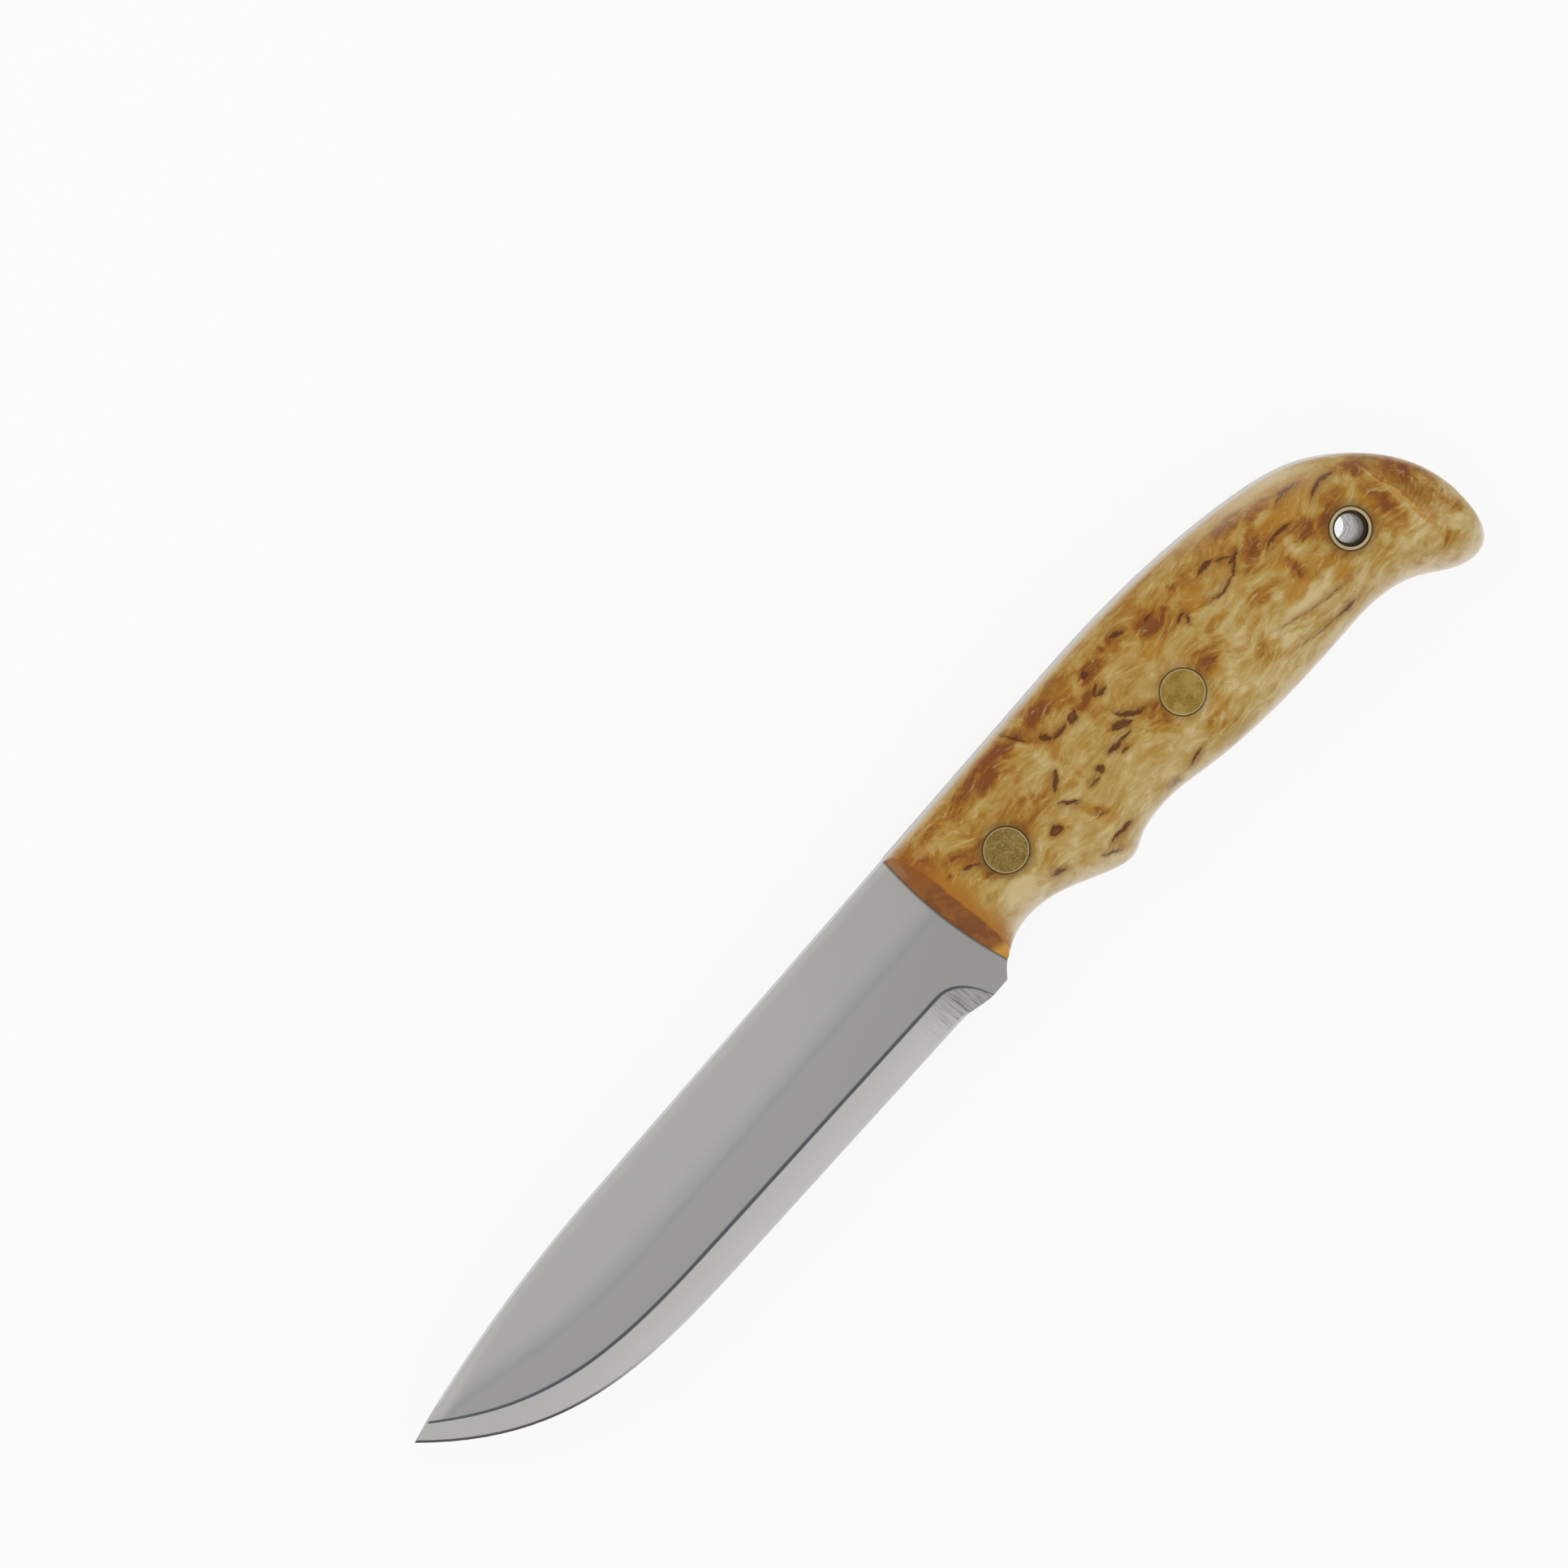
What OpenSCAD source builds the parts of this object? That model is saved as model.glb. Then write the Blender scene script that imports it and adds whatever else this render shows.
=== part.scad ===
// Whittling knife with a full tang.
// One piece of steel makes the blade and the tang. Two birch scales sit on the tang, clamped by
// two-part brass rivets, and a brass thong tube goes through the butt.
// Millimetres. X runs from the tip to the butt and Y from the edge to the spine.
// The knife lies on its side: Z goes up through the flats, and the lower scale rests on Z = 0.

/* [Blade] */
// Length from the tip to the front of the scales at the spine
blade_length = 129.7; // [105:0.1:160]
// Thickness of the steel
steel = 3.2; // [2.4:0.1:4.5]
// Width from the spine to the bottom of the ricasso
ricasso_width = 30.1; // [29.4:0.1:34]
// Width where the straight run of the edge meets the plunge
edge_width = 29; // [25:0.1:29.2]
// Width where the straight run of the edge meets the belly
belly_width = 27.8; // [23:0.1:28.6]
// Length of the curved belly, from the tip
belly_length = 67; // [45:1:80]
// How full the belly's curve is, where 1 is close to a round arc
belly_fullness = 1.17; // [0.9:0.01:1.3]
// Angle between the edge and the spine line at the tip
tip_angle = 50; // [35:1:60]
// Drop of the tip below the spine line
tip_drop = 4.9; // [2:0.1:8]
// Length over which the spine curves down to the tip
spine_curve = 53; // [30:1:80]

/* [Bevel] */
// Width of the bevel, with its shoulder, on the straight run
bevel_width = 6.6; // [4:0.1:9]
// Width of the bevel, with its shoulder, at the tip
tip_bevel_width = 3.9; // [2.5:0.1:6]
// Width of the polished shoulder between the flat and the bevel
shoulder_width = 0.75; // [0.4:0.05:1.2]
// Drop of the surface across the shoulder
shoulder_drop = 0.08; // [0.04:0.01:0.15]
// Width of the fine second bevel at the edge
fine_bevel_width = 0.45; // [0.25:0.05:0.8]
// Steel thickness where the fine second bevel begins
fine_bevel_steel = 0.44; // [0.3:0.02:0.7]
// Steel thickness left at the edge
edge_steel = 0.1; // [0.06:0.01:0.2]
// Length of the flat bottom of the ricasso, from the heel to its corner
ricasso_length = 3.5; // [2:0.1:8]
// Length of the plunge, where the bevel runs out in front of the ricasso
plunge_length = 7.1; // [4:0.1:12]

/* [Handle outline] */
// Length from the front of the scales at the spine to the end of the butt
handle_length = 114.5; // [100:0.1:130]
// How far the corner of the ricasso stands in front of the scales
corner_ahead = 1.4; // [0.8:0.1:2.4]
// Straight run of the back of the handle
back_run = 42; // [25:1:55]
// Place of the finger hollow's deepest point, from the front of the scales
hollow_at = 9; // [7:0.5:12]
// Width at the finger hollow
hollow_width = 25.3; // [22:0.1:28]
// Place of the guard bump behind the finger hollow
guard_at = 29.3; // [26:0.1:33]
// Width at the guard bump
guard_width = 32.4; // [29:0.1:36]
// Place of the waist behind the guard bump
waist_at = 39.4; // [37:0.1:44]
// Width at the waist
waist_width = 30.3; // [27:0.1:33]
// Distance of the palm swell's lowest point in front of the butt's end
palm_from_end = 28.9; // [25:0.1:38]
// Width at the palm swell
palm_width = 34.8; // [31:0.1:38]
// Distance of the hook's lowest point in front of the butt's end
hook_from_end = 5.8; // [5:0.1:8]
// Depth of the hook under the butt, from the line of the spine
hook_depth = 43.4; // [40:0.1:48]
// Depth of the butt's furthest point, from the line of the spine
butt_drop = 32.2; // [26:0.1:34]

/* [Handle thickness] */
// Thickness over both scales at the front
front_thickness = 15.5; // [12:0.1:20]
// Thickness over both scales at the palm
palm_thickness = 21; // [17:0.1:26]
// Thickness over both scales at the butt
butt_thickness = 16.5; // [14:0.1:24]
// Place of the thickest part, from the front of the scales
palm_at = 60; // [45:1:75]
// Straight wall of a scale above the tang
scale_wall = 1; // [0.8:0.1:3]
// How far the rounding reaches in from the back of the handle
back_round = 9; // [5:0.1:12]
// How far the rounding reaches in from the belly of the handle
belly_round = 10; // [5:0.1:12]
// Radius of the bowed front end of the scales
front_radius = 77; // [66:1:120]
// Depth below the spine of that bow's foremost point
front_bow_at = 10.3; // [6:0.1:15]
// Lean of the front end, from upright
front_lean = 28; // [10:1:40]

/* [Rivets and tube] */
// Place of the front rivet, from the front of the scales
front_rivet_at = 15.2; // [12:0.1:20]
// Depth of the front rivet, from the line of the spine
front_rivet_depth = 13.7; // [10:0.1:16]
// Place of the rear rivet, from the front of the scales
rear_rivet_at = 55.8; // [48:0.1:64]
// Depth of the rear rivet, from the line of the spine
rear_rivet_depth = 18.7; // [14:0.1:22]
// Diameter of the rivet heads
head_d = 8; // [7:0.1:10]
// Diameter of the tapped shank of a rivet's sleeve half
shank_d = 6; // [5.2:0.1:6.6]
// Diameter of the stud of a rivet's screw half
stud_d = 4; // [3:0.1:4.2]
// Wood clamped under each rivet head
head_seat = 3; // [2:0.1:3.8]
// Distance of the thong tube in front of the butt's end
tube_from_end = 18.2; // [16:0.1:24]
// Depth of the thong tube, from the line of the spine
tube_depth = 22.3; // [19:0.1:26]
// Outer diameter of the thong tube
tube_d = 7.5; // [7:0.1:9]
// Diameter of the tube's bore
tube_bore = 5.2; // [4:0.1:5.6]
// Diameter of the wider mouth at each end of the tube
mouth_d = 6.3; // [6:0.1:6.6]
// Depth of each mouth
mouth_depth = 1.2; // [0.6:0.1:3]
// Clearance round the rivets and the tube, on the radius
fit = 0.04; // [0.02:0.01:0.1]

/* [Hidden] */
$fn = 64;

steel_colour = [0.66, 0.66, 0.65];
birch_colour = [0.74, 0.6, 0.36];
brass_colour = [0.62, 0.54, 0.33];

// Steps along each curved stretch of an outline
curve_steps = 14;
belly_steps = 26;
plunge_steps = 10;
spine_steps = 20;
// Ribs of a scale's skin along the handle, and the closer ones round its butt
long_ribs = 66;
butt_ribs = 14;
// Length of the butt that the closer ribs cover
butt_zone = 14;
// Turn of the butt at its last rib, which leaves a flat under a millimetre wide
last_rib_turn = 88.5;
// Strips of a scale's skin from the belly to the back
skin_strips = 16;
// Ribs on each side in which a point looks for its nearest place on an outline
near_ribs = 12;
// Overshoot of a cutter past the surface that it cuts
past = 1;
// Overshoot of the bevel's cutter past the edge
edge_past = 0.2;
// How far a rivet's sleeve reaches past the tang into the other scale
sleeve_reach = 1.5;
// Solid left over the sleeve's bore, and the stud's gap to the end of that bore
bore_floor = 1;
stud_gap = 1;

half_steel = steel / 2;
// Height of the seats of the rivet heads, from the middle of the steel
head_base = half_steel + head_seat;
heel_x = blade_length - corner_ahead - ricasso_length;
plunge_x = heel_x - plunge_length;
edge_heading = atan2(belly_width - edge_width, plunge_x - belly_length);

front_rivet = [front_rivet_at, -front_rivet_depth];
rear_rivet = [rear_rivet_at, -rear_rivet_depth];
tube_place = [handle_length - tube_from_end, -tube_depth];

// ---------- Curves through stations; a station is [x, y, heading in degrees] ----------

function between(a, b, share) = a + (b - a) * share;
function flat(p) = [p[0], p[1]];
function unit(heading) = [cos(heading), sin(heading)];
function backwards(list) = [for (i = [len(list) - 1:-1:0]) list[i]];

// A point of the cubic from station a to station b, which is close to a round arc
function curve_point(a, b, t, fullness = 1) =
    let (
        chord = norm(flat(b) - flat(a)),
        reach = fullness * chord / (3 * pow(cos((b[2] - a[2]) / 4), 2)),
        leave = flat(a) + reach * unit(a[2]),
        arrive = flat(b) - reach * unit(b[2])
    )
    pow(1 - t, 3) * flat(a) + 3 * pow(1 - t, 2) * t * leave
        + 3 * (1 - t) * t * t * arrive + pow(t, 3) * flat(b);

function curve_through(stations) = [
    for (i = [0:len(stations) - 2])
        for (k = [0:curve_steps - 1])
            curve_point(stations[i], stations[i + 1], k / curve_steps),
    flat(stations[len(stations) - 1])
];

// ---------- Outline of the handle, measured from the front of the scales ----------

// Length that the outlines run on in front of the scales, for the cone to trim
front_run = 4;
// Headings of the outline: along the belly towards the tip, and up from the ricasso's corner
tipward = -180;
corner_heading = -132;

// Shaping points between the named widths. Each has a distance from a named place, a share of the
// change between two depths, and a heading.
back_fall = [-30.4, 0.118, -12];
butt_shoulder = [-12.4, 0.325, -36.5];
hook_front = [-8.5, 0.483, -218];
palm_start = [10.6, 0.4, -192];
guard_back = [3.4, 0.57, -157];
guard_front = [-3.8, 0.14, -205];
hollow_back = [-10.3, 0.61, -207.5];
function shaped(from, depth, other_depth, point) =
    [from + point[0], -between(depth, other_depth, point[1]), point[2]];

ricasso_corner = [-corner_ahead, -ricasso_width];
butt_end = [handle_length, -butt_drop, -90];
hook_at = handle_length - hook_from_end;
palm_low_at = handle_length - palm_from_end;

back_stations = [
    [-front_run, 0, 0],
    [back_run, 0, 0],
    shaped(handle_length, 0, butt_drop, back_fall),
    shaped(handle_length, 0, butt_drop, butt_shoulder),
    butt_end
];
belly_stations = [
    butt_end,
    [hook_at, -hook_depth, tipward],
    shaped(hook_at, palm_width, hook_depth, hook_front),
    [palm_low_at, -palm_width, tipward],
    shaped(waist_at, waist_width, palm_width, palm_start),
    [waist_at, -waist_width, tipward],
    shaped(guard_at, guard_width, waist_width, guard_back),
    [guard_at, -guard_width, tipward],
    shaped(guard_at, guard_width, hollow_width, guard_front),
    shaped(guard_at, guard_width, hollow_width, hollow_back),
    [hollow_at, -hollow_width, tipward],
    concat(ricasso_corner, corner_heading)
];

back_curve = curve_through(back_stations);
// The belly's curve from front to butt, with a run in front of the ricasso's corner
belly_curve = concat(
    [ricasso_corner + front_run * unit(corner_heading)],
    backwards(curve_through(belly_stations))
);

// Places of the ribs along the handle, from a start to just short of the butt's end
function rib_places(start) = concat(
    [for (i = [0:long_ribs]) between(start, handle_length - butt_zone, i / long_ribs)],
    [for (i = [1:butt_ribs]) handle_length - butt_zone * (1 - sin(last_rib_turn * i / butt_ribs))]
);

function back_points(start) = [for (x = rib_places(start)) [x, lookup(x, back_curve)]];
function belly_points(start) = [for (x = rib_places(start)) [x, lookup(x, belly_curve)]];

scale_start = -front_run / 2;
scale_places = rib_places(scale_start);
scale_back = back_points(scale_start);
scale_belly = belly_points(scale_start);
last_rib = len(scale_places) - 1;

// ---------- Thickness of the handle ----------

// Slope of one side of the handle at its front and at its butt, in degrees
front_slope = 5;
butt_slope = -5;
thickness_curve = curve_through([
    [-front_run, front_thickness / 2, front_slope],
    [palm_at, palm_thickness / 2, 0],
    [handle_length, butt_thickness / 2, butt_slope]
]);

function gap_to_run(p, a, b) =
    let (run = b - a, t = max(0, min(1, (p - a) * run / (run * run))))
    norm(p - a - t * run);

// Distance from point p, on rib i, to an outline
function gap_to_line(p, line, i) =
    min([
        for (k = [max(0, i - near_ribs):min(last_rib, i + near_ribs) - 1])
            gap_to_run(p, line[k], line[k + 1])
    ]);

// Rises from 0 at the outline to 1 at the reach, as a quarter of an ellipse
function rounding(gap, reach) = gap >= reach ? 1 : sqrt(1 - pow(1 - gap / reach, 2));

// Height of the skin above the middle of the steel, at point p near rib i
function skin_height(p, i) =
    let (
        foot = half_steel + scale_wall,
        crown = lookup(p[0], thickness_curve) - foot,
        back_gap = gap_to_line(p, scale_back, i),
        belly_gap = gap_to_line(p, scale_belly, i)
    )
    foot + crown * rounding(back_gap, back_round) * rounding(belly_gap, belly_round);

// Strips are narrow at both sides, where the skin turns down
function strip_share(j) = (1 - cos(180 * j / skin_strips)) / 2;

skin = [
    for (i = [0:last_rib]) [
        for (j = [0:skin_strips])
            let (p = between(scale_belly[i], scale_back[i], strip_share(j)))
            [p[0], p[1], skin_height(p, i)]
    ]
];
skin_top = max([for (rib = skin) for (p = rib) p[2]]);

// Height of the skin over a place that is not on a rib
function height_at(place) = skin_height(place, len([for (x = scale_places) if (x < place[0]) x]));

// ---------- Handle solids, with the steel's middle plane at Z = 0 ----------

// Skins over a row of rings that all have the same number of points.
// Each end is closed by a fan from its ring's first point.
module loft(rings) {
    size = len(rings[0]);
    last = (len(rings) - 1) * size;
    walls = [
        for (i = [0:len(rings) - 2])
            for (j = [0:size - 1])
                let (a = i * size + j, b = i * size + (j + 1) % size)
                each [[a, b, b + size], [a, b + size, a + size]]
    ];
    first_end = [for (j = [1:size - 2]) [0, j + 1, j]];
    last_end = [for (j = [1:size - 2]) [last, last + j, last + j + 1]];
    polyhedron([for (ring = rings) each ring], concat(walls, first_end, last_end));
}

// The upper half of the handle's form between two ribs, from a floor at height base to the skin
module handle_half(base, first = 0, last = last_rib) {
    loft([
        for (i = [first:last])
            concat([[each scale_belly[i], base]], skin[i], [[each scale_back[i], base]])
    ]);
}

// The same over the ribs that a round piece at a place needs
module handle_half_at(place, diameter, base) {
    behind = [for (x = scale_places) if (x < place[0] - diameter / 2) x];
    before = [for (x = scale_places) if (x <= place[0] + diameter / 2) x];
    handle_half(base, max(0, len(behind) - 1), min(last_rib, len(before)));
}

// Leaning cone that bounds the bowed front end of a scale
module front_cone() {
    tall = palm_thickness;
    slope = tan(front_lean);
    centre_x = sqrt(pow(front_radius, 2) - pow(front_bow_at, 2));
    translate([centre_x, -front_bow_at, half_steel - past])
        cylinder(h = tall, r1 = front_radius + past * slope, r2 = front_radius - (tall - past) * slope);
}

module at(place) {
    translate([place[0], place[1], 0]) children();
}

// Stepped hole for one half of a rivet, from the tang up through the scale
module rivet_hole(place) {
    at(place) {
        translate([0, 0, -past]) cylinder(h = head_base + 2 * past, d = shank_d + 2 * fit);
        translate([0, 0, head_base]) cylinder(h = palm_thickness, d = head_d + 2 * fit);
    }
}

module tube_hole() {
    at(tube_place)
        translate([0, 0, -palm_thickness]) cylinder(h = 2 * palm_thickness, d = tube_d + 2 * fit);
}

module scale_on_tang() {
    difference() {
        intersection() {
            handle_half(half_steel);
            front_cone();
        }
        rivet_hole(front_rivet);
        rivet_hole(rear_rivet);
        tube_hole();
    }
}

// Head of a rivet, ground flush with the wood
module rivet_head(place) {
    intersection() {
        handle_half_at(place, head_d, half_steel);
        at(place) translate([0, 0, head_base]) cylinder(h = palm_thickness, d = head_d);
    }
}

// Sleeve half: head above, tapped shank down through the tang into the lower scale
module rivet_sleeve(place) {
    shank_end = -half_steel - sleeve_reach;
    difference() {
        union() {
            rivet_head(place);
            at(place) translate([0, 0, shank_end]) cylinder(h = head_base - shank_end, d = shank_d);
        }
        at(place) translate([0, 0, shank_end - past])
            cylinder(h = head_base - bore_floor - shank_end + past, d = stud_d + 2 * fit);
    }
}

// Screw half: head below, stud up into the sleeve
module rivet_screw(place) {
    mirror([0, 0, 1]) rivet_head(place);
    at(place) translate([0, 0, -head_base])
        cylinder(h = 2 * head_base - bore_floor - stud_gap, d = stud_d);
}

module thong_tube() {
    top = height_at(tube_place);
    difference() {
        intersection() {
            at(tube_place)
                translate([0, 0, -palm_thickness]) cylinder(h = 2 * palm_thickness, d = tube_d);
            union() {
                handle_half_at(tube_place, tube_d, 0);
                mirror([0, 0, 1]) handle_half_at(tube_place, tube_d, 0);
            }
        }
        at(tube_place)
            translate([0, 0, -palm_thickness]) cylinder(h = 2 * palm_thickness, d = tube_bore);
        for (side = [0, 1])
            mirror([0, 0, side])
                at(tube_place) translate([0, 0, top - mouth_depth])
                    cylinder(h = palm_thickness, d = mouth_d);
    }
}

// ---------- Blade ----------

tip = [0, -tip_drop, -tip_angle];
belly_end = [belly_length, -belly_width, edge_heading];
plunge_foot = [plunge_x, -edge_width, edge_heading];
heel = [heel_x, -ricasso_width, 0];
spine_end = [spine_curve, 0, 0];
spine_tip = [0, -tip_drop, 2 * atan(tip_drop / spine_curve)];

function edge_point(t) = curve_point(tip, belly_end, t, belly_fullness);
function foot_point(t) = curve_point(plunge_foot, heel, t);

// Unit vector from the edge in towards the flat, along the belly
function inward(t) =
    let (step = 0.001, along = edge_point(t + step) - edge_point(t - step))
    [-along[1], along[0]] / norm(along);

function belly_bevel(t) = between(bevel_width, tip_bevel_width, pow(1 - t, 3));

// The plunge's curve down the flat, from the bevel's shoulder to the heel
plunge_top = flat(plunge_foot) + bevel_width * unit(edge_heading + 90);
plunge_start = concat(plunge_top, edge_heading);
plunge_stop_heading = -78;
plunge_stop = [heel_x, -ricasso_width, plunge_stop_heading];
function plunge_point(t) = curve_point(plunge_start, plunge_stop, t);

module blank_outline() {
    edge = concat(
        [for (i = [0:belly_steps]) edge_point(i / belly_steps)],
        [for (i = [0:plunge_steps]) foot_point(i / plunge_steps)]
    );
    spine = [for (i = [0:spine_steps - 1]) curve_point(spine_tip, spine_end, i / spine_steps)];
    tang_back = back_points(0);
    tang_belly = belly_points(-corner_ahead);
    to_knife = [blade_length, 0];
    polygon(concat(
        edge,
        [for (p = tang_belly) p + to_knife],
        [for (i = [last_rib - 1:-1:0]) tang_back[i] + to_knife],
        [flat(spine_end)],
        [for (i = [len(spine) - 1:-1:1]) spine[i]]
    ));
}

// One cross-section of the cutter that grinds a bevel, from shoulder point s to edge point e.
// depth is 1 where the grind reaches the edge in full, and less in the plunge.
function bevel_section(s, e, depth) =
    let (
        out = (e - s) / norm(e - s),
        shoulder_share = shoulder_width / bevel_width,
        fine_share = 1 - fine_bevel_width / norm(e - s) * depth,
        shoulder_z = half_steel - shoulder_drop * depth,
        fine_z = half_steel - (half_steel - fine_bevel_steel / 2) * depth,
        edge_z = half_steel - (half_steel - edge_steel / 2) * depth,
        fall = (fine_bevel_steel - edge_steel) / 2 / fine_bevel_width
    )
    [
        [each (e + 2 * past * out), half_steel + past],
        [each s, half_steel],
        [each between(s, e, shoulder_share), shoulder_z],
        [each between(s, e, fine_share), fine_z],
        [each (e + edge_past * out), edge_z - edge_past * fall]
    ];

module bevel_cutter() {
    run_out = 3;
    belly = [
        for (i = [0:belly_steps])
            let (t = i / belly_steps, e = edge_point(t))
            bevel_section(e + belly_bevel(t) * inward(t), e, 1)
    ];
    before_tip = [for (p = belly[0]) p - run_out * [each unit(-tip_angle), 0]];
    plunge = [
        for (i = [0:plunge_steps])
            let (
                t = i / plunge_steps,
                s = plunge_point(t) + [0, edge_past * t],
                e = foot_point(t) - [0, edge_past * t],
                depth = min(1, norm(e - s) / bevel_width)
            )
            bevel_section(s, e, depth)
    ];
    loft(concat([before_tip], belly, plunge));
}

module steel_with_tang() {
    difference() {
        translate([0, 0, -half_steel]) linear_extrude(height = steel) blank_outline();
        bevel_cutter();
        mirror([0, 0, 1]) bevel_cutter();
        translate([blade_length, 0, 0]) {
            for (place = [front_rivet, rear_rivet])
                at(place) translate([0, 0, -steel]) cylinder(h = 2 * steel, d = shank_d + 2 * fit);
            tube_hole();
        }
    }
}

// ---------- The knife, laid on its side about the middle of its outline ----------

module laid() {
    translate([-(blade_length + handle_length) / 2, hook_depth / 2, skin_top]) children();
}

module on_handle() {
    laid() translate([blade_length, 0, 0]) children();
}

module blade() {
    color(steel_colour) laid() steel_with_tang();
}

module left_scale() {
    color(birch_colour) on_handle() scale_on_tang();
}

module right_scale() {
    color(birch_colour) on_handle() mirror([0, 0, 1]) scale_on_tang();
}

module front_rivet_sleeve() {
    color(brass_colour) on_handle() rivet_sleeve(front_rivet);
}

module front_rivet_screw() {
    color(brass_colour) on_handle() rivet_screw(front_rivet);
}

module rear_rivet_sleeve() {
    color(brass_colour) on_handle() rivet_sleeve(rear_rivet);
}

module rear_rivet_screw() {
    color(brass_colour) on_handle() rivet_screw(rear_rivet);
}

module lanyard_tube() {
    color(brass_colour) on_handle() thong_tube();
}

blade();
left_scale();
right_scale();
front_rivet_sleeve();
front_rivet_screw();
rear_rivet_sleeve();
rear_rivet_screw();
lanyard_tube();
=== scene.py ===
# %% [markdown] # A whittling knife with curly birch scales  The knife arrives as a packed
# model: a blade with a full tang, two scales, two rivets in two halves each, and a thong
# tube. This lesson gives every piece its finish: satin steel with a ground bevel, polished
# curly birch, and brass that has aged in the hand.

import math
import random

import bpy
from mathutils import Matrix, Vector


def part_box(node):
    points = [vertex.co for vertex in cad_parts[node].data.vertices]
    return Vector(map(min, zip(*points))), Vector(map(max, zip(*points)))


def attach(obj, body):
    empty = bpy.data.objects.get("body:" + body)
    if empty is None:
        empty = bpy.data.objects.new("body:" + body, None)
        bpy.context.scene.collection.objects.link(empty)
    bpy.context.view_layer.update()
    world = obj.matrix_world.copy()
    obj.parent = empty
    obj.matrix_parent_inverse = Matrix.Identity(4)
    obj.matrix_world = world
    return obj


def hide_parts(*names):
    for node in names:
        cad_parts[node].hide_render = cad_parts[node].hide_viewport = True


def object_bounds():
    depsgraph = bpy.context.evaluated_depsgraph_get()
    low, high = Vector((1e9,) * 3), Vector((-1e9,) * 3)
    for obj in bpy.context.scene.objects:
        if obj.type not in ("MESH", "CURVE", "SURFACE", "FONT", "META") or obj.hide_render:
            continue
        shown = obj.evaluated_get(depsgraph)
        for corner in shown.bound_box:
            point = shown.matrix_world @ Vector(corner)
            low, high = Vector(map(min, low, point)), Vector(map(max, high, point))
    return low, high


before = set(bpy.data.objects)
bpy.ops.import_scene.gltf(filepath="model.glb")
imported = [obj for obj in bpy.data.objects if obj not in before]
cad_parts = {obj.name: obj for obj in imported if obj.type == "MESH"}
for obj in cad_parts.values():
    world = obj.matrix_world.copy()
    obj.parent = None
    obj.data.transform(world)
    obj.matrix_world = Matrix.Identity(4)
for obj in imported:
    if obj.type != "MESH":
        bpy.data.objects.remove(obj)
cad_low, cad_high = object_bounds()
MM = 0.001
print("nodes:", sorted(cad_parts))

# %% [markdown]
# ## Places on the knife
#
# A finish has to know where things are: a rivet's rim, the line of the spine, the joint between
# wood and steel. The places could be typed in, but then they would stay behind when a size of the
# model changes. So they are read from the boxes round the nodes.

# %% Find the places
blade_low, blade_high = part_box("blade")
tip_x = blade_low.x
spine_y = blade_high.y
steel_z = (blade_low.z + blade_high.z) / 2
half_steel = (blade_high.z - blade_low.z) / 2 / MM


def middle(node):
    """The middle of a node's box."""
    low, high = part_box(node)
    return (low + high) / 2


def radius_of(node):
    """The radius of an upright round node, in millimetres."""
    low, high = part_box(node)
    return (high.x - low.x) / 2 / MM


front_rivet = middle("front_rivet_sleeve")
rear_rivet = middle("rear_rivet_sleeve")
tube = middle("lanyard_tube")
head_radius = radius_of("front_rivet_sleeve")
tube_radius = radius_of("lanyard_tube")
middle_to_steel = (front_rivet.z - steel_z) / MM
print("tip at", round(tip_x / MM, 1), "mm, spine at", round(spine_y / MM, 1), "mm")
print("rivet heads", round(2 * head_radius, 1), "mm, tube", round(2 * tube_radius, 1), "mm")

# %% [markdown]
# ## Camera
#
# The knife is seen from above and a little from the spine's side, and it lies across the picture
# with its tip at the lower left. A camera could be turned by hand until it looks right. Here its
# aim, its lean and its turn are worked out from a few real lengths and angles, so that each one
# can be changed by itself.

# %% Place the camera
camera_distance = 0.885
camera_lens = 117.4
sensor_width = 36
farthest_seen = 10
aim_on_knife = Vector((0.00635, 0.04378, blade_high.z))
lean_to_spine = math.radians(7.23)
lean_to_tip = math.radians(0.75)
turn_in_picture = math.radians(48.78)

look = Vector((math.tan(lean_to_tip), -math.tan(lean_to_spine), -1)).normalized()
up_on_table = Vector((math.sin(turn_in_picture), math.cos(turn_in_picture), 0))
camera_right = look.cross(up_on_table).normalized()
camera_up = camera_right.cross(look)
camera_turn = Matrix((camera_right, camera_up, -look)).transposed().to_4x4()

bpy.ops.object.camera_add()
camera = bpy.context.object
camera.name = "camera"
camera.matrix_world = Matrix.Translation(aim_on_knife - camera_distance * look) @ camera_turn
camera.data.lens = camera_lens
camera.data.sensor_width = sensor_width
camera.data.clip_end = farthest_seen
bpy.context.scene.camera = camera
print("camera at", [round(c, 3) for c in camera.location])

# %% [markdown]
# ## Writing a finish
#
# A finish is a small program of nodes. Wiring nodes one by one fills pages, so this class has a
# short method for each kind that is needed, and each method returns the new node's output.
# Colours are given as a painter reads them off a screen, from 0 to 255, and made linear, because
# light adds up in linear values.

# %% Colours
def rgb(red, green, blue):
    """A linear colour from screen values."""
    def linear(value):
        share = value / 255
        return share / 12.92 if share <= 0.04045 else ((share + 0.055) / 1.055) ** 2.4
    return (linear(red), linear(green), linear(blue), 1)


print("a middle grey is", round(rgb(128, 128, 128)[0], 3), "in linear values")


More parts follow.
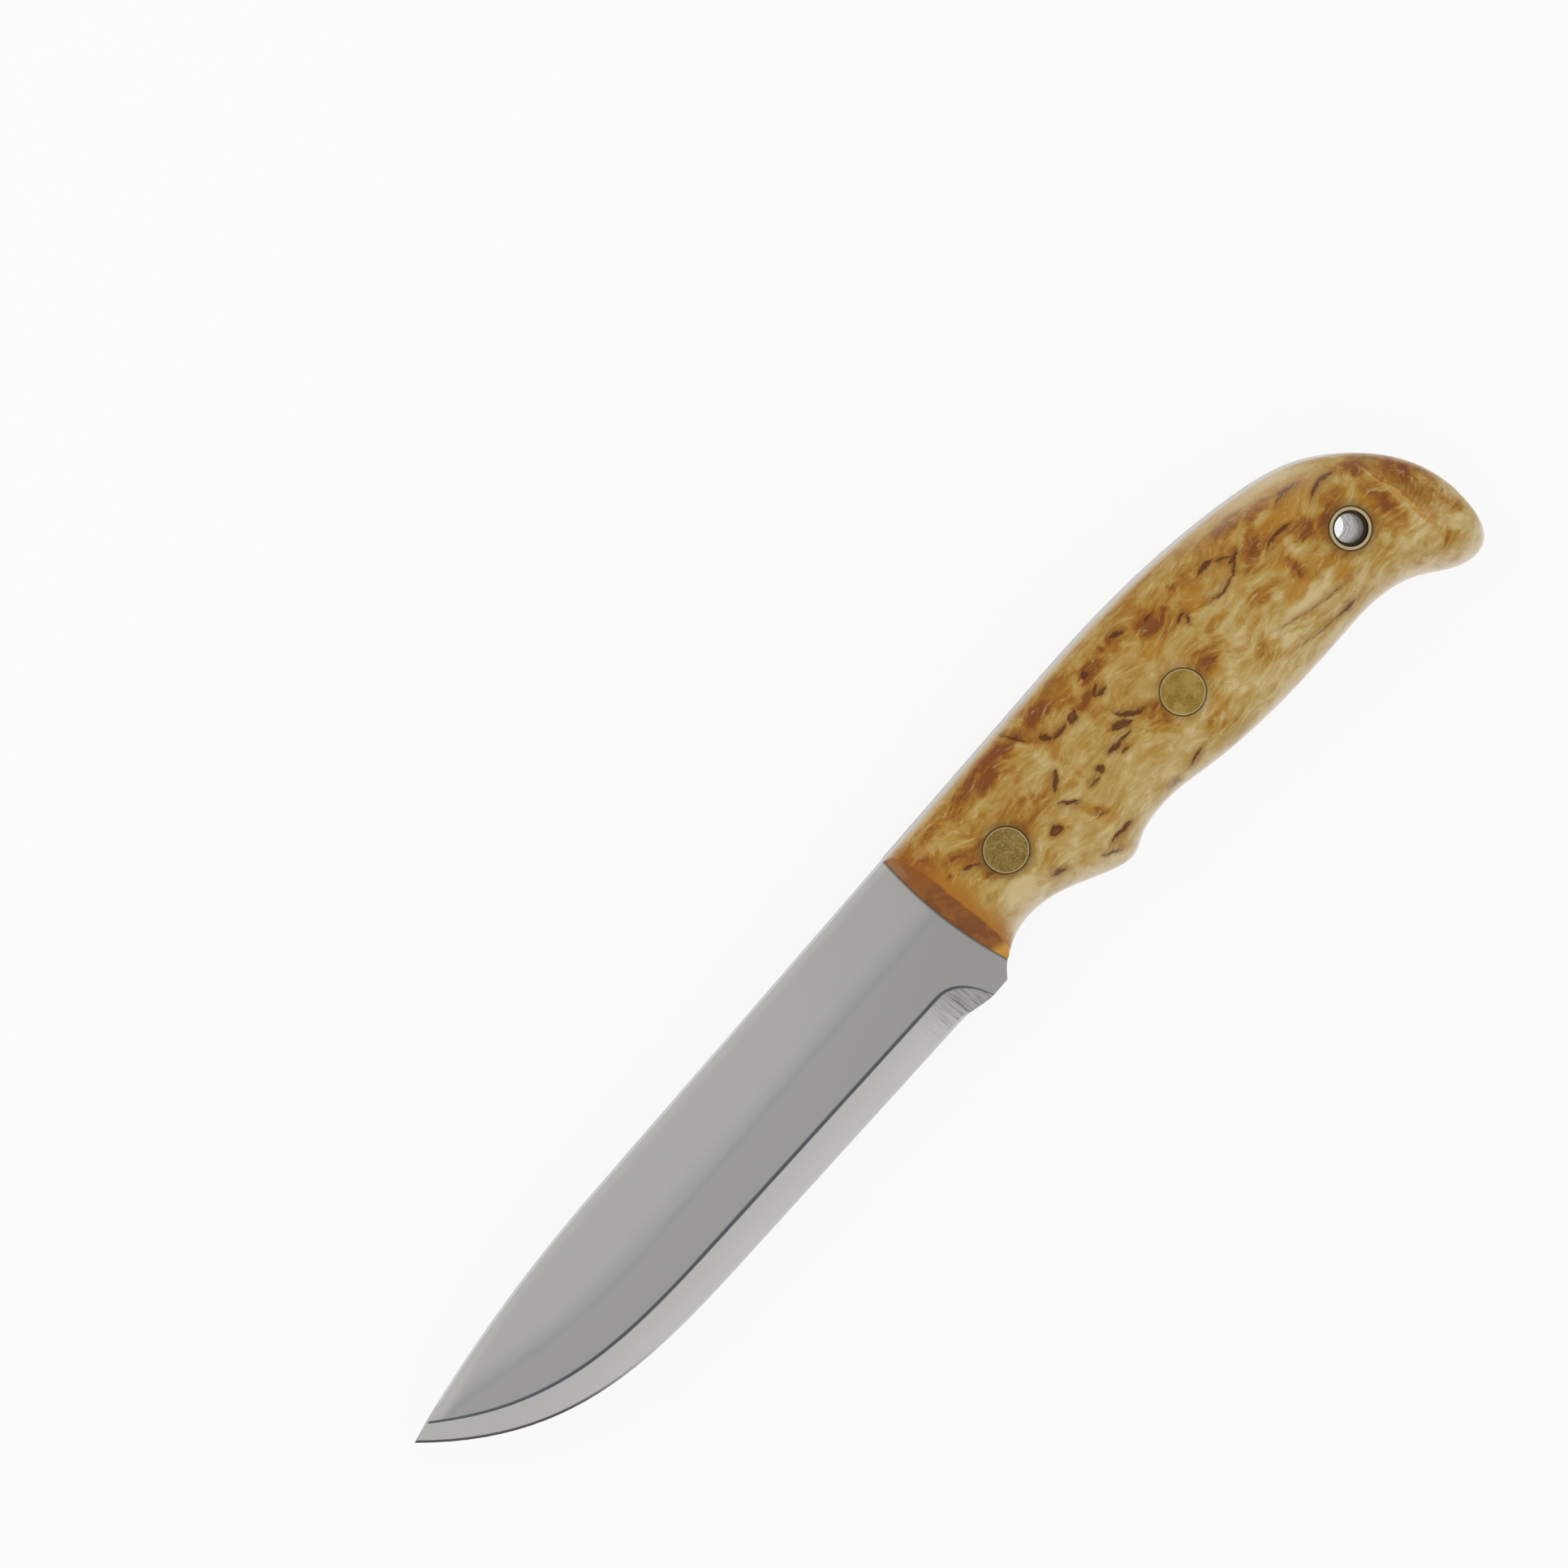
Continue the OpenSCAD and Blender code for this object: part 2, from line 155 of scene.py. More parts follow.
# %% A helper for materials
class Finish:
    """One material, whose nodes are added by short methods."""

    def __init__(self, name, **constants):
        self.material = bpy.data.materials.new(name)
        self.material.use_nodes = True
        self.tree = self.material.node_tree
        self.shader = self.tree.nodes["Principled BSDF"]
        for socket, value in constants.items():
            self.shader.inputs[socket.replace("_", " ")].default_value = value

    def add(self, kind, inputs, output=0, **settings):
        """A node of any kind. An input is linked if it is a socket, and otherwise set."""
        node = self.tree.nodes.new("ShaderNode" + kind)
        for name, value in settings.items():
            setattr(node, name, value)
        for key, value in inputs.items():
            if isinstance(value, bpy.types.NodeSocket):
                self.tree.links.new(value, node.inputs[key])
            else:
                node.inputs[key].default_value = value
        return node.outputs[output]

    def connect(self, socket, value):
        self.tree.links.new(value, self.shader.inputs[socket])

    def millimetres(self, zero):
        """Places in millimetres, from a point of the object."""
        place = self.add("TexCoord", {}, "Object")
        at_zero = self.add("VectorMath", {0: place, 1: zero}, operation="SUBTRACT")
        return self.add("VectorMath", {0: at_zero, "Scale": 1 / MM}, operation="SCALE")

    def math(self, operation, a, b=0.0, c=0.0):
        return self.add("Math", {0: a, 1: b, 2: c}, operation=operation)

    def product(self, *values):
        """All the values multiplied together."""
        total = values[0]
        for value in values[1:]:
            total = self.math("MULTIPLY", total, value)
        return total

    def parts(self, vector):
        split = self.add("SeparateXYZ", {0: vector}).node
        return split.outputs[0], split.outputs[1], split.outputs[2]

    def dot(self, vector, other):
        return self.add("VectorMath", {0: vector, 1: other}, "Value", operation="DOT_PRODUCT")

    def stretch(self, vector, scale):
        return self.add("VectorMath", {0: vector, 1: scale}, operation="MULTIPLY")

    def noise(self, vector, scale, detail=2.0, roughness=0.5):
        inputs = {"Vector": vector, "Scale": scale, "Detail": detail, "Roughness": roughness}
        return self.add("TexNoise", inputs)

    def warped(self, vector, scale, amount, detail=2.0):
        """The same places, pushed about by a soft noise of up to the given amount."""
        push = self.add("TexNoise", {"Vector": vector, "Scale": scale, "Detail": detail}, "Color")
        push = self.add("VectorMath", {0: push, 1: (0.5, 0.5, 0.5)}, operation="SUBTRACT")
        push = self.add("VectorMath", {0: push, "Scale": 2 * amount}, operation="SCALE")
        return self.add("VectorMath", {0: vector, 1: push}, operation="ADD")

    def from_axis(self, place, x=0.0, y=0.0):
        """The distance from an upright axis through x and y."""
        flat = self.stretch(place, (1, 1, 0))
        return self.add("VectorMath", {0: flat, 1: (x, y, 0)}, "Value", operation="DISTANCE")

    def rise(self, value, low, high, to_low=0.0, to_high=1.0):
        """A smooth step of value from low to high."""
        inputs = {0: value, 1: low, 2: high, 3: to_low, 4: to_high}
        return self.add("MapRange", inputs, interpolation_type="SMOOTHSTEP")

    def mix(self, share, first, second):
        return self.add("Mix", {0: share, 6: first, 7: second}, 2, data_type="RGBA")

    def ramp(self, value, stops):
        node = self.add("ValToRGB", {0: value}).node
        points = node.color_ramp.elements
        while len(points) < len(stops):
            points.new(1)
        for point, (place, colour) in zip(points, stops):
            point.position = place
            point.color = colour
        return node.outputs[0]

    def bump(self, height, distance):
        self.connect("Normal", self.add("Bump", {"Height": height, "Distance": distance * MM}))


print("a finish is written with", len([m for m in vars(Finish) if m[0] != "_"]), "methods")

# %% [markdown]
# ## Steel: the flats
#
# The flats have a fine satin polish, and the room shows in it as broad, soft bands along the
# blade: light near the spine, cooler in the middle, a little darker towards the edge. A real
# reflection would do this only for one room and one camera. As painted reflections in the
# steel's own colour the bands hold in any light, so they are laid across the blade and bent up
# towards the tip. A painted contact shadow darkens the corner where the wood stands on the
# steel. The wood's front bows, so its line is a parabola, which the birch below shares.

# %% The bands on the flats
wood_front = 15.9       # from the front rivet's axis to the wood's front, on the flats
bow_middle = 3.41       # where across the wood its front reaches farthest
bow_rate = 0.00668      # how fast the front bows back from there
drop_start = 53         # from the tip to where the spine begins to drop
tip_drop = 4.9          # how far the spine has dropped at the tip


def above_spine_line(steel, along, across):
    """How far a point is above the spine's line, which drops to the tip in a parabola."""
    dip = steel.rise(along, drop_start, 0)
    spine_line = steel.product(dip, dip, -tip_drop)
    return steel.math("SUBTRACT", across, spine_line)


def flats(steel, place, along, across, from_spine):
    near_tip = steel.rise(along, 60, 0)
    band_middle = steel.math("MULTIPLY_ADD", steel.product(near_tip, near_tip), 7, -12.8)
    wander = steel.noise(steel.stretch(place, (0.02, 0.25, 1)), 1, 3)
    below = steel.math("SUBTRACT", band_middle, across)
    below = steel.math("ADD", below, steel.math("MULTIPLY_ADD", wander, 3, -1.5))
    # painted reflection: soft bands across the flats
    colour = steel.ramp(steel.rise(below, -8, 8), [
        (0.0, rgb(171, 170, 167)), (0.2, rgb(169, 168, 165)), (0.36, rgb(163, 162, 160)),
        (0.5, rgb(150, 151, 151)), (0.6, rgb(156, 155, 153)), (1.0, rgb(154, 153, 151))])
    to_handle = steel.rise(along, 85, 130, 0, 0.2)
    colour = steel.mix(to_handle, colour, rgb(142, 141, 139))
    # painted highlight: a light strip along the spine
    spine_highlight = steel.rise(from_spine, -1.8, -0.2, 0, 0.6)
    colour = steel.mix(spine_highlight, colour, rgb(187, 185, 182))

    bow = steel.math("ADD", across, (spine_y - front_rivet.y) / MM - bow_middle)
    wood_x = (front_rivet.x - tip_x) / MM - wood_front
    wood_line = steel.math("MULTIPLY_ADD", steel.product(bow, bow), bow_rate, wood_x)
    from_wood = steel.math("SUBTRACT", along, wood_line)
    # painted contact shadow: a dark line on the steel along the wood's front
    return steel.mix(steel.rise(from_wood, -0.45, -0.1, 0, 0.75), colour, rgb(88, 86, 86))


print("the wood begins", round((front_rivet.x - tip_x) / MM - wood_front, 1), "mm from the tip")

# %% [markdown]
# ## Steel: the bevel and its shoulder
#
# The ground bevel is brighter than the flats, a painted reflection, and a painted shade darkens
# it where it runs out. The fine second bevel at the edge is painted brighter still, but near the
# tip it faces away from the light and is painted dark. Where the bevel runs out, the wheel left
# strokes square to the edge: a noise that is squeezed along the edge makes them.
# The polished shoulder between bevel and flat is so smooth that its reflection shows as a dark
# line, and this line is painted.

# %% Bevel, strokes and shoulder
shoulder_drop = 0.09    # from the flat to the foot of the shoulder


def grinding_marks(steel, place, along):
    """Fine dark strokes square to the edge, where the bevel's plunge was ground."""
    slant = steel.dot(place, (4.4, 0.3, 0))
    aside = steel.dot(place, (0.03, 0.12, 0))
    spot = steel.add("CombineXYZ", {0: slant, 1: aside})
    strokes = steel.rise(steel.noise(spot, 1.3, 3, 0.65), 0.46, 0.62)
    strong = steel.rise(along, 106, 121)
    return steel.product(strokes, strong, strong)


def bevel_and_shoulder(steel, place, along, level):
    # painted reflection: the bevel's light tones
    bevel = steel.mix(steel.rise(level, 1.5, 0.3), rgb(183, 181, 179), rgb(190, 188, 186))
    bevel = steel.mix(steel.rise(along, 45, 12), bevel, rgb(178, 177, 173))
    # painted shade where the bevel runs out
    bevel = steel.mix(steel.rise(along, 113, 123, 0, 0.75), bevel, rgb(152, 151, 150))
    bevel = steel.mix(grinding_marks(steel, place, along), bevel, rgb(104, 102, 100))
    # painted highlight on the fine bevel, and painted shade near the tip
    fine = steel.mix(steel.rise(along, 45, 20), rgb(196, 195, 193), rgb(84, 80, 80))
    bevel = steel.mix(steel.rise(level, 0.26, 0.2), bevel, fine)

    foot = half_steel - shoulder_drop
    # painted reflection: the shoulder's dark line
    shoulder = steel.ramp(steel.add("MapRange", {0: level, 1: foot, 2: half_steel}), [
        (0.0, rgb(165, 164, 163)), (0.12, rgb(96, 98, 102)), (0.45, rgb(80, 83, 88)),
        (0.75, rgb(92, 96, 101)), (0.97, rgb(140, 141, 142))])
    return steel.mix(steel.rise(level, foot, foot + 0.005), bevel, shoulder)


print("the shoulder's foot is", round(half_steel - shoulder_drop, 2), "mm from the middle")

# %% [markdown]
# ## Steel: the rim, and all of it together
#
# The walls of the spine and of the tang catch more light than the flats, which is painted as a
# highlight, and their corners are painted as dark lines of shade. Each surface could get a
# material of its own, on faces picked by hand. One material does it all, because the height in
# the steel tells which surface a point is on: the flats are at the full half thickness, and the
# bevel runs down from there to the edge.

# %% Steel for the blade
tang_start = 124.7      # from the tip to where the wood covers the flats


def rim(steel, place, level):
    lines = steel.noise(steel.stretch(place, (0.04, 0.3, 6)), 1, 3)
    # painted highlight on the walls of spine and tang
    colour = steel.mix(steel.rise(lines, 0.4, 0.6), rgb(184, 183, 184), rgb(210, 209, 209))
    # painted shade: a dark line at each corner
    corner = steel.rise(level, half_steel - 0.3, half_steel - 0.1, 0, 0.8)
    return steel.mix(corner, colour, rgb(104, 102, 106))


def satin_steel():
    steel = Finish("satin_steel", Metallic=1.0, Roughness=0.34)
    place = steel.millimetres((tip_x, spine_y, steel_z))
    along, across, height = steel.parts(place)
    level = steel.math("ABSOLUTE", height)
    from_spine = above_spine_line(steel, along, across)

    on_flat = steel.rise(level, half_steel - 0.003, half_steel - 0.001)
    colour = steel.mix(on_flat, bevel_and_shoulder(steel, place, along, level),
                       flats(steel, place, along, across, from_spine))
    spine_wall = steel.product(steel.rise(from_spine, -0.9, -0.7), steel.rise(along, 7, 9))
    wall = steel.math("MAXIMUM", spine_wall, steel.rise(along, tang_start, tang_start + 0.1))
    off_flat = steel.rise(level, half_steel - 0.003, half_steel - 0.006)
    colour = steel.mix(steel.product(wall, off_flat), colour, rim(steel, place, level))
    steel.connect("Base Color", colour)

    polish = steel.noise(steel.stretch(place, (0.15, 6, 6)), 1, 3, 0.6)
    steel.bump(polish, 0.0015)
    return steel.material


steel_material = satin_steel()
print("steel nodes:", len(steel_material.node_tree.nodes))

# %% [markdown]
# ## Curly birch: the marks of the left scale
#
# Curly birch is pale, with golden and brown clouds where the grain rolls over, and with short dark
# flecks that are bark grown into the wood. Noise alone gives clouds, but their places matter on a
# knife this size, and a fleck has a shape of its own. So the large clouds and the main flecks are
# laid one by one, and noise pushes their edges about and fills in the small figure. Places are in
# millimetres from the middle of the front rivet.

# %% Brown clouds
# Each cloud is (along, across, length, width, turn in degrees, depth of colour)
left_brown = [
    (-13, 9.5, 8, 7, 0, 0.8), (-9, 11.5, 12, 2.5, -3, 0.55), (5.5, 11.2, 13, 3.8, -4, 0.9),
    (12, 11.8, 9, 3.2, -5, 0.9), (21.3, 11.6, 6, 2.8, 0, 0.8), (26.5, 10.9, 6, 3.6, -5, 0.95),
    (32.5, 10, 7, 2.6, 0, 0.9), (28, 6.9, 3, 1.8, 0, 0.7), (7.5, 2.5, 11, 6.5, 8, 0.42),
    (-6.3, 5.4, 6, 2.6, -10, 0.75), (-4.6, -0.6, 4.5, 2.4, -60, 0.7), (15.4, -7, 4, 2, -62, 0.85),
    (34.5, -5, 8, 6, 0, 0.6), (45.6, 6.6, 7.5, 5, 0, 0.85), (47.8, -3.8, 7, 5, 0, 0.85),
    (53, -1.5, 6, 1.6, 5, 0.5), (61.8, -4.8, 4, 3, -20, 0.8), (69.4, -5, 2.2, 5.5, 0, 0.75),
    (69, 2.8, 7.5, 5, 10, 0.95), (66.8, 8.2, 7.5, 2.6, -12, 0.85), (70.8, 6, 2.5, 2, 0, 0.9),
    (74.2, 5.6, 5, 1.6, -12, 0.7), (75.5, -2.6, 4.5, 4.5, 0, 0.8), (80.5, -3.2, 10, 3.4, 5, 0.75),
    (90.3, -2.3, 7, 2.8, -22, 1.0), (88.2, -10.3, 3.6, 8.5, 0, 0.9), (94.2, -9.8, 4, 12, 0, 1.05),
    (97, -21, 3, 2, 0, 0.6), (91.3, -22.3, 2.5, 2.2, 0, 0.6), (42.5, -12.3, 8, 1.4, 4, 0.7),
    (56, -11.6, 4.4, 3, -10, 0.75), (53.3, 7.8, 2.4, 1.2, 0, 0.7), (49.3, 7, 2, 2, 0, 0.6),
    (40.2, -14.6, 9, 1.3, -4, 0.6), (-4, 3.6, 5, 6, 0, 0.45), (33, -8, 9, 4, 0, 0.35),
    (40, 8, 5, 5, 0, 0.42), (66.5, 0.2, 8, 4, 0, 0.42), (74.5, -10.5, 8, 7, 0, 0.42),
    (84, -13.5, 9, 7, 0, 0.48), (96.6, -14.5, 5, 11, 0, 0.6), (89, -23.5, 9, 6, -30, 0.42),
    (54.5, 5, 6, 4, 0, 0.3), (16.5, 7.8, 4, 4, 0, 0.3), (56.5, -7.2, 5, 3, 0, 0.42),
    (-8.5, -9, 5, 6, 0, 0.5), (64, -13, 5, 3, -15, 0.45), (-4, 3, 4, 7, 0, 0.35),
    (28, 3.5, 3, 4, 0, 0.45), (52, 4, 4, 3, 0, 0.4), (44.5, -10, 6, 3, 0, 0.45),
    (3, -7, 4, 3, 0, 0.35),
]
print(len(left_brown), "brown clouds")

# %% Amber and pale clouds
left_amber = [
    (-10.8, 1, 4, 9, 0, 1.0), (-10.8, -7, 3.6, 7, 5, 1.0), (-13, 7.7, 4, 3.6, 0, 1.2),
    (-9.5, 4.2, 4, 3, 0, 0.7), (-12.8, -10.5, 3, 5, -20, 0.9), (42.5, 3.8, 4, 3.8, 0, 0.9),
    (54, 4, 5, 3, 0, 1.0), (76, 2.2, 11, 5, 0, 1.0), (67, -8.3, 5.6, 2.2, -10, 1.0),
    (68, -3.6, 2.2, 3, 0, 0.8), (72.8, -8.4, 3.4, 2, 0, 0.8), (74.6, -12.2, 3.6, 4.2, -20, 1.0),
    (43.6, -11, 2.6, 3, 0, 0.9), (91.5, -13, 1.6, 15, 0, 1.1), (93.8, -18, 4.5, 4.5, 0, 0.8),
    (26.5, 11, 6, 4, 0, 0.7), (58, -14.6, 6, 1.6, 0, 0.6), (15.8, -10, 2.5, 1.5, 0, 0.8),
    (86.5, -7.5, 3, 5, 20, 0.7), (60.6, -2, 2, 4, 0, 0.7), (62, -5, 4, 3, 0, 0.6),
]
left_pale = [
    (-2.5, -6.3, 13, 4, -8, 0.9), (16.3, 4.8, 3, 8, 10, 0.9), (28.9, 9.2, 1.6, 3.4, -15, 0.8),
    (35.5, 5, 8, 6, 0, 0.35), (54, -5.2, 8, 5.5, 0, 0.8), (66, -12.2, 16, 4, -3, 0.7),
    (45.5, -10.5, 5, 4, 0, 0.6), (59.5, 4, 5, 3, 0, 0.5), (15.2, 10.5, 1.2, 6, 25, 0.9),
    (72.5, -3, 2, 4, 10, 0.8), (63.8, -6.3, 1.8, 4, 20, 0.8), (90, -17.5, 8, 4, 10, 0.5),
    (84, -14, 2, 3, 0, 0.5), (24, -12, 12, 4, 5, 0.4), (56, -1.2, 11, 5.5, 0, 0.95),
    (13.5, 3.6, 7, 6, 0, 0.65), (22.5, 1.2, 7, 6, 0, 0.6), (92.5, -5, 4, 4, 0, 0.7),
    (49.5, -1.8, 7, 4, 0, 0.7), (86, -1.5, 6, 3, 10, 0.5), (12, -16, 3, 3, 0, 0.6),
    (30, -14, 5, 4, 0, 0.6), (40, 1, 3, 3, 0, 0.6), (70, -16, 6, 3, 0, 0.4),
    (61, -18, 14, 3, 0, 0.5),
]
print(len(left_amber), "amber and", len(left_pale), "pale clouds")

# %% Flecks
# Each fleck is (along, across, length, turn, rise of its ends, width)
left_flecks = [
    (18.9, 7.7, 2.6, -55, 0.3, 0.8), (21.2, 6.6, 4.8, -3, 0.3, 0.4),
    (24.6, 6.9, 3.2, 28, -0.2, 1.3), (30.6, 6.9, 3, 40, -0.4, 0.5),
    (31.2, 5.6, 3.2, -5, 0.5, 0.55), (31.7, 9.5, 1.8, 0, 0, 1.0), (31.7, -0.7, 7.5, -39, 1.3, 0.6),
    (29.2, -0.8, 4.6, -27, 0.1, 1.1), (25.8, -2.6, 3.8, 3, 0.3, 0.8),
    (28.2, -2.5, 3.4, -5, 0.2, 0.35), (21.3, -3.3, 1.8, 30, 0, 1.3), (19, -3.8, 3, 2, 0.1, 0.3),
    (26.6, -4.2, 2.4, -5, 0, 0.35), (14.7, 1.4, 4.4, 42, 0.2, 0.75),
    (13.5, -2.6, 4.8, -47, -0.3, 0.45), (8.2, -4.4, 3, -18, 0, 1.25),
    (15.6, -12.9, 6.2, -4, -0.4, 0.6), (12, -14.6, 4.4, -29, 0, 0.35),
    (-5.8, 2.7, 4, -31, -0.6, 0.35), (-9.9, 4.2, 1.4, -10, 0, 0.45),
    (40.4, 10, 3.6, -23, 0.3, 0.6), (28.1, -15.2, 3, -12, 0, 0.3), (34, -14.2, 5, 18, -0.4, 0.3),
    (3.2, -9.8, 4.5, -28, 0, 0.4), (15.4, 11.2, 5.5, -62, 0.3, 0.3), (59.3, 6.7, 4, -4, -0.4, 0.8),
    (62.8, 4.9, 4.2, -32, -0.3, 0.3), (63.8, 3.5, 3.2, 18, 0.3, 0.55),
    (62.6, 2.3, 3.2, 38, 0.2, 0.4), (58.2, 1.2, 7.8, 0, 0.9, 0.4), (50, 3.9, 2.6, 15, -0.2, 0.35),
    (50.6, 2.7, 2.4, 70, 0, 0.3), (78.5, 4.4, 6.8, -7, -1.0, 0.4), (83.7, 0.9, 7.4, -1, -1.1, 0.6),
    (72, 0.8, 7.6, -3, -1.1, 0.45), (67, -12.9, 15, -15, 0.5, -0.15),
    (67, -17, 13, -10, 0.3, -0.12), (70.5, -17.6, 5, -8, 0, 0.35), (46, 8.3, 2.6, 10, -0.4, 0.25),
]
print(len(left_flecks), "flecks")

# %% [markdown]
# ## Curly birch: the marks of the hidden scale
#
# The other scale was cut from the same plank, so it has as many marks, of the same sizes, in other
# places. Mirroring the first side would be simpler, but two pieces of wood never match. The places
# are drawn at random from a fixed seed, so that they are the same each time.

# %% Draw the marks of the right scale
along_wood = (-12, 96)
across_wood = (-13, 11)


def scattered(marks, turn_at, spread, draw):
    """Marks of the same sizes, at places and turns of their own."""
    moved = []
    for mark in marks:
        along = draw.uniform(*along_wood)
        across = draw.uniform(*across_wood) - max(0, along - 60) / 7
        mark = [along, across, *mark[2:]]
        mark[turn_at] += draw.uniform(-spread, spread)
        moved.append(tuple(mark))
    return moved


draw = random.Random(11)
right_brown, right_amber, right_pale = (
    scattered(marks, 4, 15, draw) for marks in (left_brown, left_amber, left_pale))
right_flecks = scattered(left_flecks, 3, 20, draw)
print("the first cloud of the right scale is at", [round(v, 1) for v in right_brown[0][:2]])

# %% [markdown]
# ## Curly birch: clouds and flecks as fields
#
# A cloud is the inside of a soft ellipse. A fleck is a bent stroke: its place is turned and scaled
# so that it runs from -1 to 1, its middle line is a parabola, and it tapers to both ends. One
# side of it is crisp and the other is soft. What is kept is how far inside a mark a point is,
# and the largest of these over all marks makes one field, from which the dark core and the brown
# halo are both read.

# %% Two kinds of field
def cloud_field(birch, place, clouds):
    field = None
    for along, across, length, width, turn, depth in clouds:
        inputs = {"Vector": place, "Location": (along, across, 0),
                  "Rotation": (0, 0, math.radians(turn)),
                  "Scale": (0.85 * length, 0.85 * width, 1000)}
        local = birch.add("Mapping", inputs, vector_type="TEXTURE")
        share = birch.add("TexGradient", {"Vector": local}, "Fac", gradient_type="SPHERICAL")
        cover = birch.rise(share, 0, 0.85, 0, depth)
        field = cover if field is None else birch.math("MAXIMUM", field, cover)
    return field


def fleck_field(birch, place, flecks):
    field = None
    for along, across, length, turn, bend, width in flecks:
        cosine, sine = math.cos(math.radians(turn)), math.sin(math.radians(turn))
        local = birch.add("VectorMath", {0: place, 1: (along, across, 0)}, operation="SUBTRACT")
        u = birch.dot(local, (2 * cosine / length, 2 * sine / length, 0))
        square = birch.math("MULTIPLY", u, u)
        side = 1 if bend < 0 else -1
        v = birch.dot(local, (-sine * side, cosine * side, 0))
        v = birch.math("MULTIPLY_ADD", square, -bend * side, v)
        off_line = birch.math("MAXIMUM", v, birch.math("MULTIPLY", v, -0.5))
        half = 0.4 * width + 0.05
        half_width = birch.math("MULTIPLY_ADD", square, -half, half)
        ends = birch.math("MULTIPLY", square, square)
        half_width = birch.math("MULTIPLY_ADD", ends, -0.15, half_width)
        inside = birch.math("SUBTRACT", half_width, off_line)
        field = inside if field is None else birch.math("MAXIMUM", field, inside)
    return field


clouds_a_side = len(left_brown) + len(left_amber) + len(left_pale)
print("fields for", clouds_a_side, "clouds and", len(left_flecks), "flecks a side")

# %% [markdown]
# ## Curly birch: grain and clouds
#
# The grain runs along the handle and bends where it rolls over. Three noises make it: long
# streaks, rounder mottle and fine threads, all on places that a fourth noise has bent. Their sum
# shifts every colour a little, and it also breaks up the laid clouds, so that these don't look
# pasted on. The wood is deeper in colour towards the back and paler towards the belly.

# %% The grain
def grain_of(birch, place, offset):
    """The wood's bent places, and its noises by name."""
    solid = birch.add("VectorMath", {0: place, 1: offset}, operation="ADD")
    bent = birch.warped(solid, 0.08, 4.0, 2)
    streaks = birch.noise(birch.stretch(bent, (0.16, 0.9, 0.8)), 1.0, 6, 0.62)
    rounder = birch.warped(birch.stretch(bent, (0.55, 1, 1)), 0.35, 1.6)
    mottle = birch.noise(rounder, 0.32, 5, 0.6)
    threads = birch.stretch(birch.warped(bent, 0.4, 0.8), (0.22, 2.4, 2.0))
    fine = birch.noise(threads, 1.0, 4, 0.6)
    rough = birch.product(birch.math("SUBTRACT", mottle, 0.5), 1.3)
    rough = birch.math("MULTIPLY_ADD", birch.math("SUBTRACT", streaks, 0.5), 0.65, rough)
    rough = birch.math("MULTIPLY_ADD", birch.math("SUBTRACT", fine, 0.5), 0.3, rough)
    return {"bent": bent, "streaks": streaks, "mottle": mottle, "fine": fine, "rough": rough}


def clouded(birch, place, grain, brown, amber, pale):
    along, across, _ = birch.parts(place)
    rough = grain["rough"]
    pushed = birch.warped(birch.warped(place, 0.25, 1.5, 3), 1.0, 0.5, 3)
    browned = cloud_field(birch, pushed, brown)
    browned = birch.product(browned, birch.math("MULTIPLY_ADD", rough, 1.4, 1.0))
    slanted = birch.math("MULTIPLY_ADD", along, 0.08, across)
    depth = birch.math("ADD", birch.rise(slanted, 2, -8, 0.43, 0.19), rough)
    depth = birch.math("MULTIPLY_ADD", browned, 0.62, depth)
    depth = birch.math("MULTIPLY_ADD", cloud_field(birch, pushed, pale), -0.3, depth)
    colour = birch.ramp(depth, [
        (0.0, rgb(206, 184, 130)), (0.2, rgb(189, 160, 98)), (0.42, rgb(176, 139, 66)),
        (0.62, rgb(162, 114, 38)), (0.82, rgb(146, 91, 30)), (1.0, rgb(126, 70, 24))])
    glow = birch.product(cloud_field(birch, pushed, amber),
                         birch.math("MULTIPLY_ADD", rough, 1.2, 1.0))
    return birch.mix(birch.rise(glow, 0, 1.1, 0, 0.75), colour, rgb(174, 120, 34))


print("the right scale reads the grain from another place in the plank")

# %% [markdown]
# ## Curly birch: the butt, strokes and flecks
#
# A thin light line of grain crosses the butt, and the wood past it is darker. All over, light and
# dark strokes show where the grain rolls over: partly the wood's own tone, and partly its shimmer,
# which is a painted sheen. A fleck has a brown halo and a dark core, and a wide one has a brown
# heart. Its edge is frayed by the fine grain.

# %% What is drawn on the wood
line_at = 90.2          # from the front rivet's axis to the light line across the butt


def butt_line(birch, colour, along, across, rough):
    past = birch.math("MULTIPLY_ADD", across, 0.09, along)
    past = birch.math("ADD", past, birch.math("MULTIPLY_ADD", rough, 2.0, -line_at))
    shade = birch.product(birch.rise(past, 0, 0.3), birch.rise(past, 5.5, 1, 0, 0.5),
                          birch.rise(across, -21, -13))
    colour = birch.mix(shade, colour, rgb(142, 92, 38))
    line = birch.product(birch.rise(past, -0.5, 0.02), birch.rise(past, 0.3, 0.05, 0, 0.55),
                         birch.rise(across, -2, -4), birch.rise(across, -20, -16))
    return birch.mix(line, colour, rgb(208, 158, 82))


def stroked(birch, colour, bent):
    rolled = birch.stretch(birch.warped(bent, 0.45, 0.9), (0.2, 1.3, 1.0))
    stroke = birch.noise(rolled, 1.2, 3, 0.5)
    # light and dark strokes of the curl: partly the wood's own tone, partly a painted sheen
    colour = birch.mix(birch.rise(stroke, 0.58, 0.72, 0, 0.4), colour, rgb(214, 190, 134))
    return birch.mix(birch.rise(stroke, 0.4, 0.28, 0, 0.3), colour, rgb(136, 86, 34))


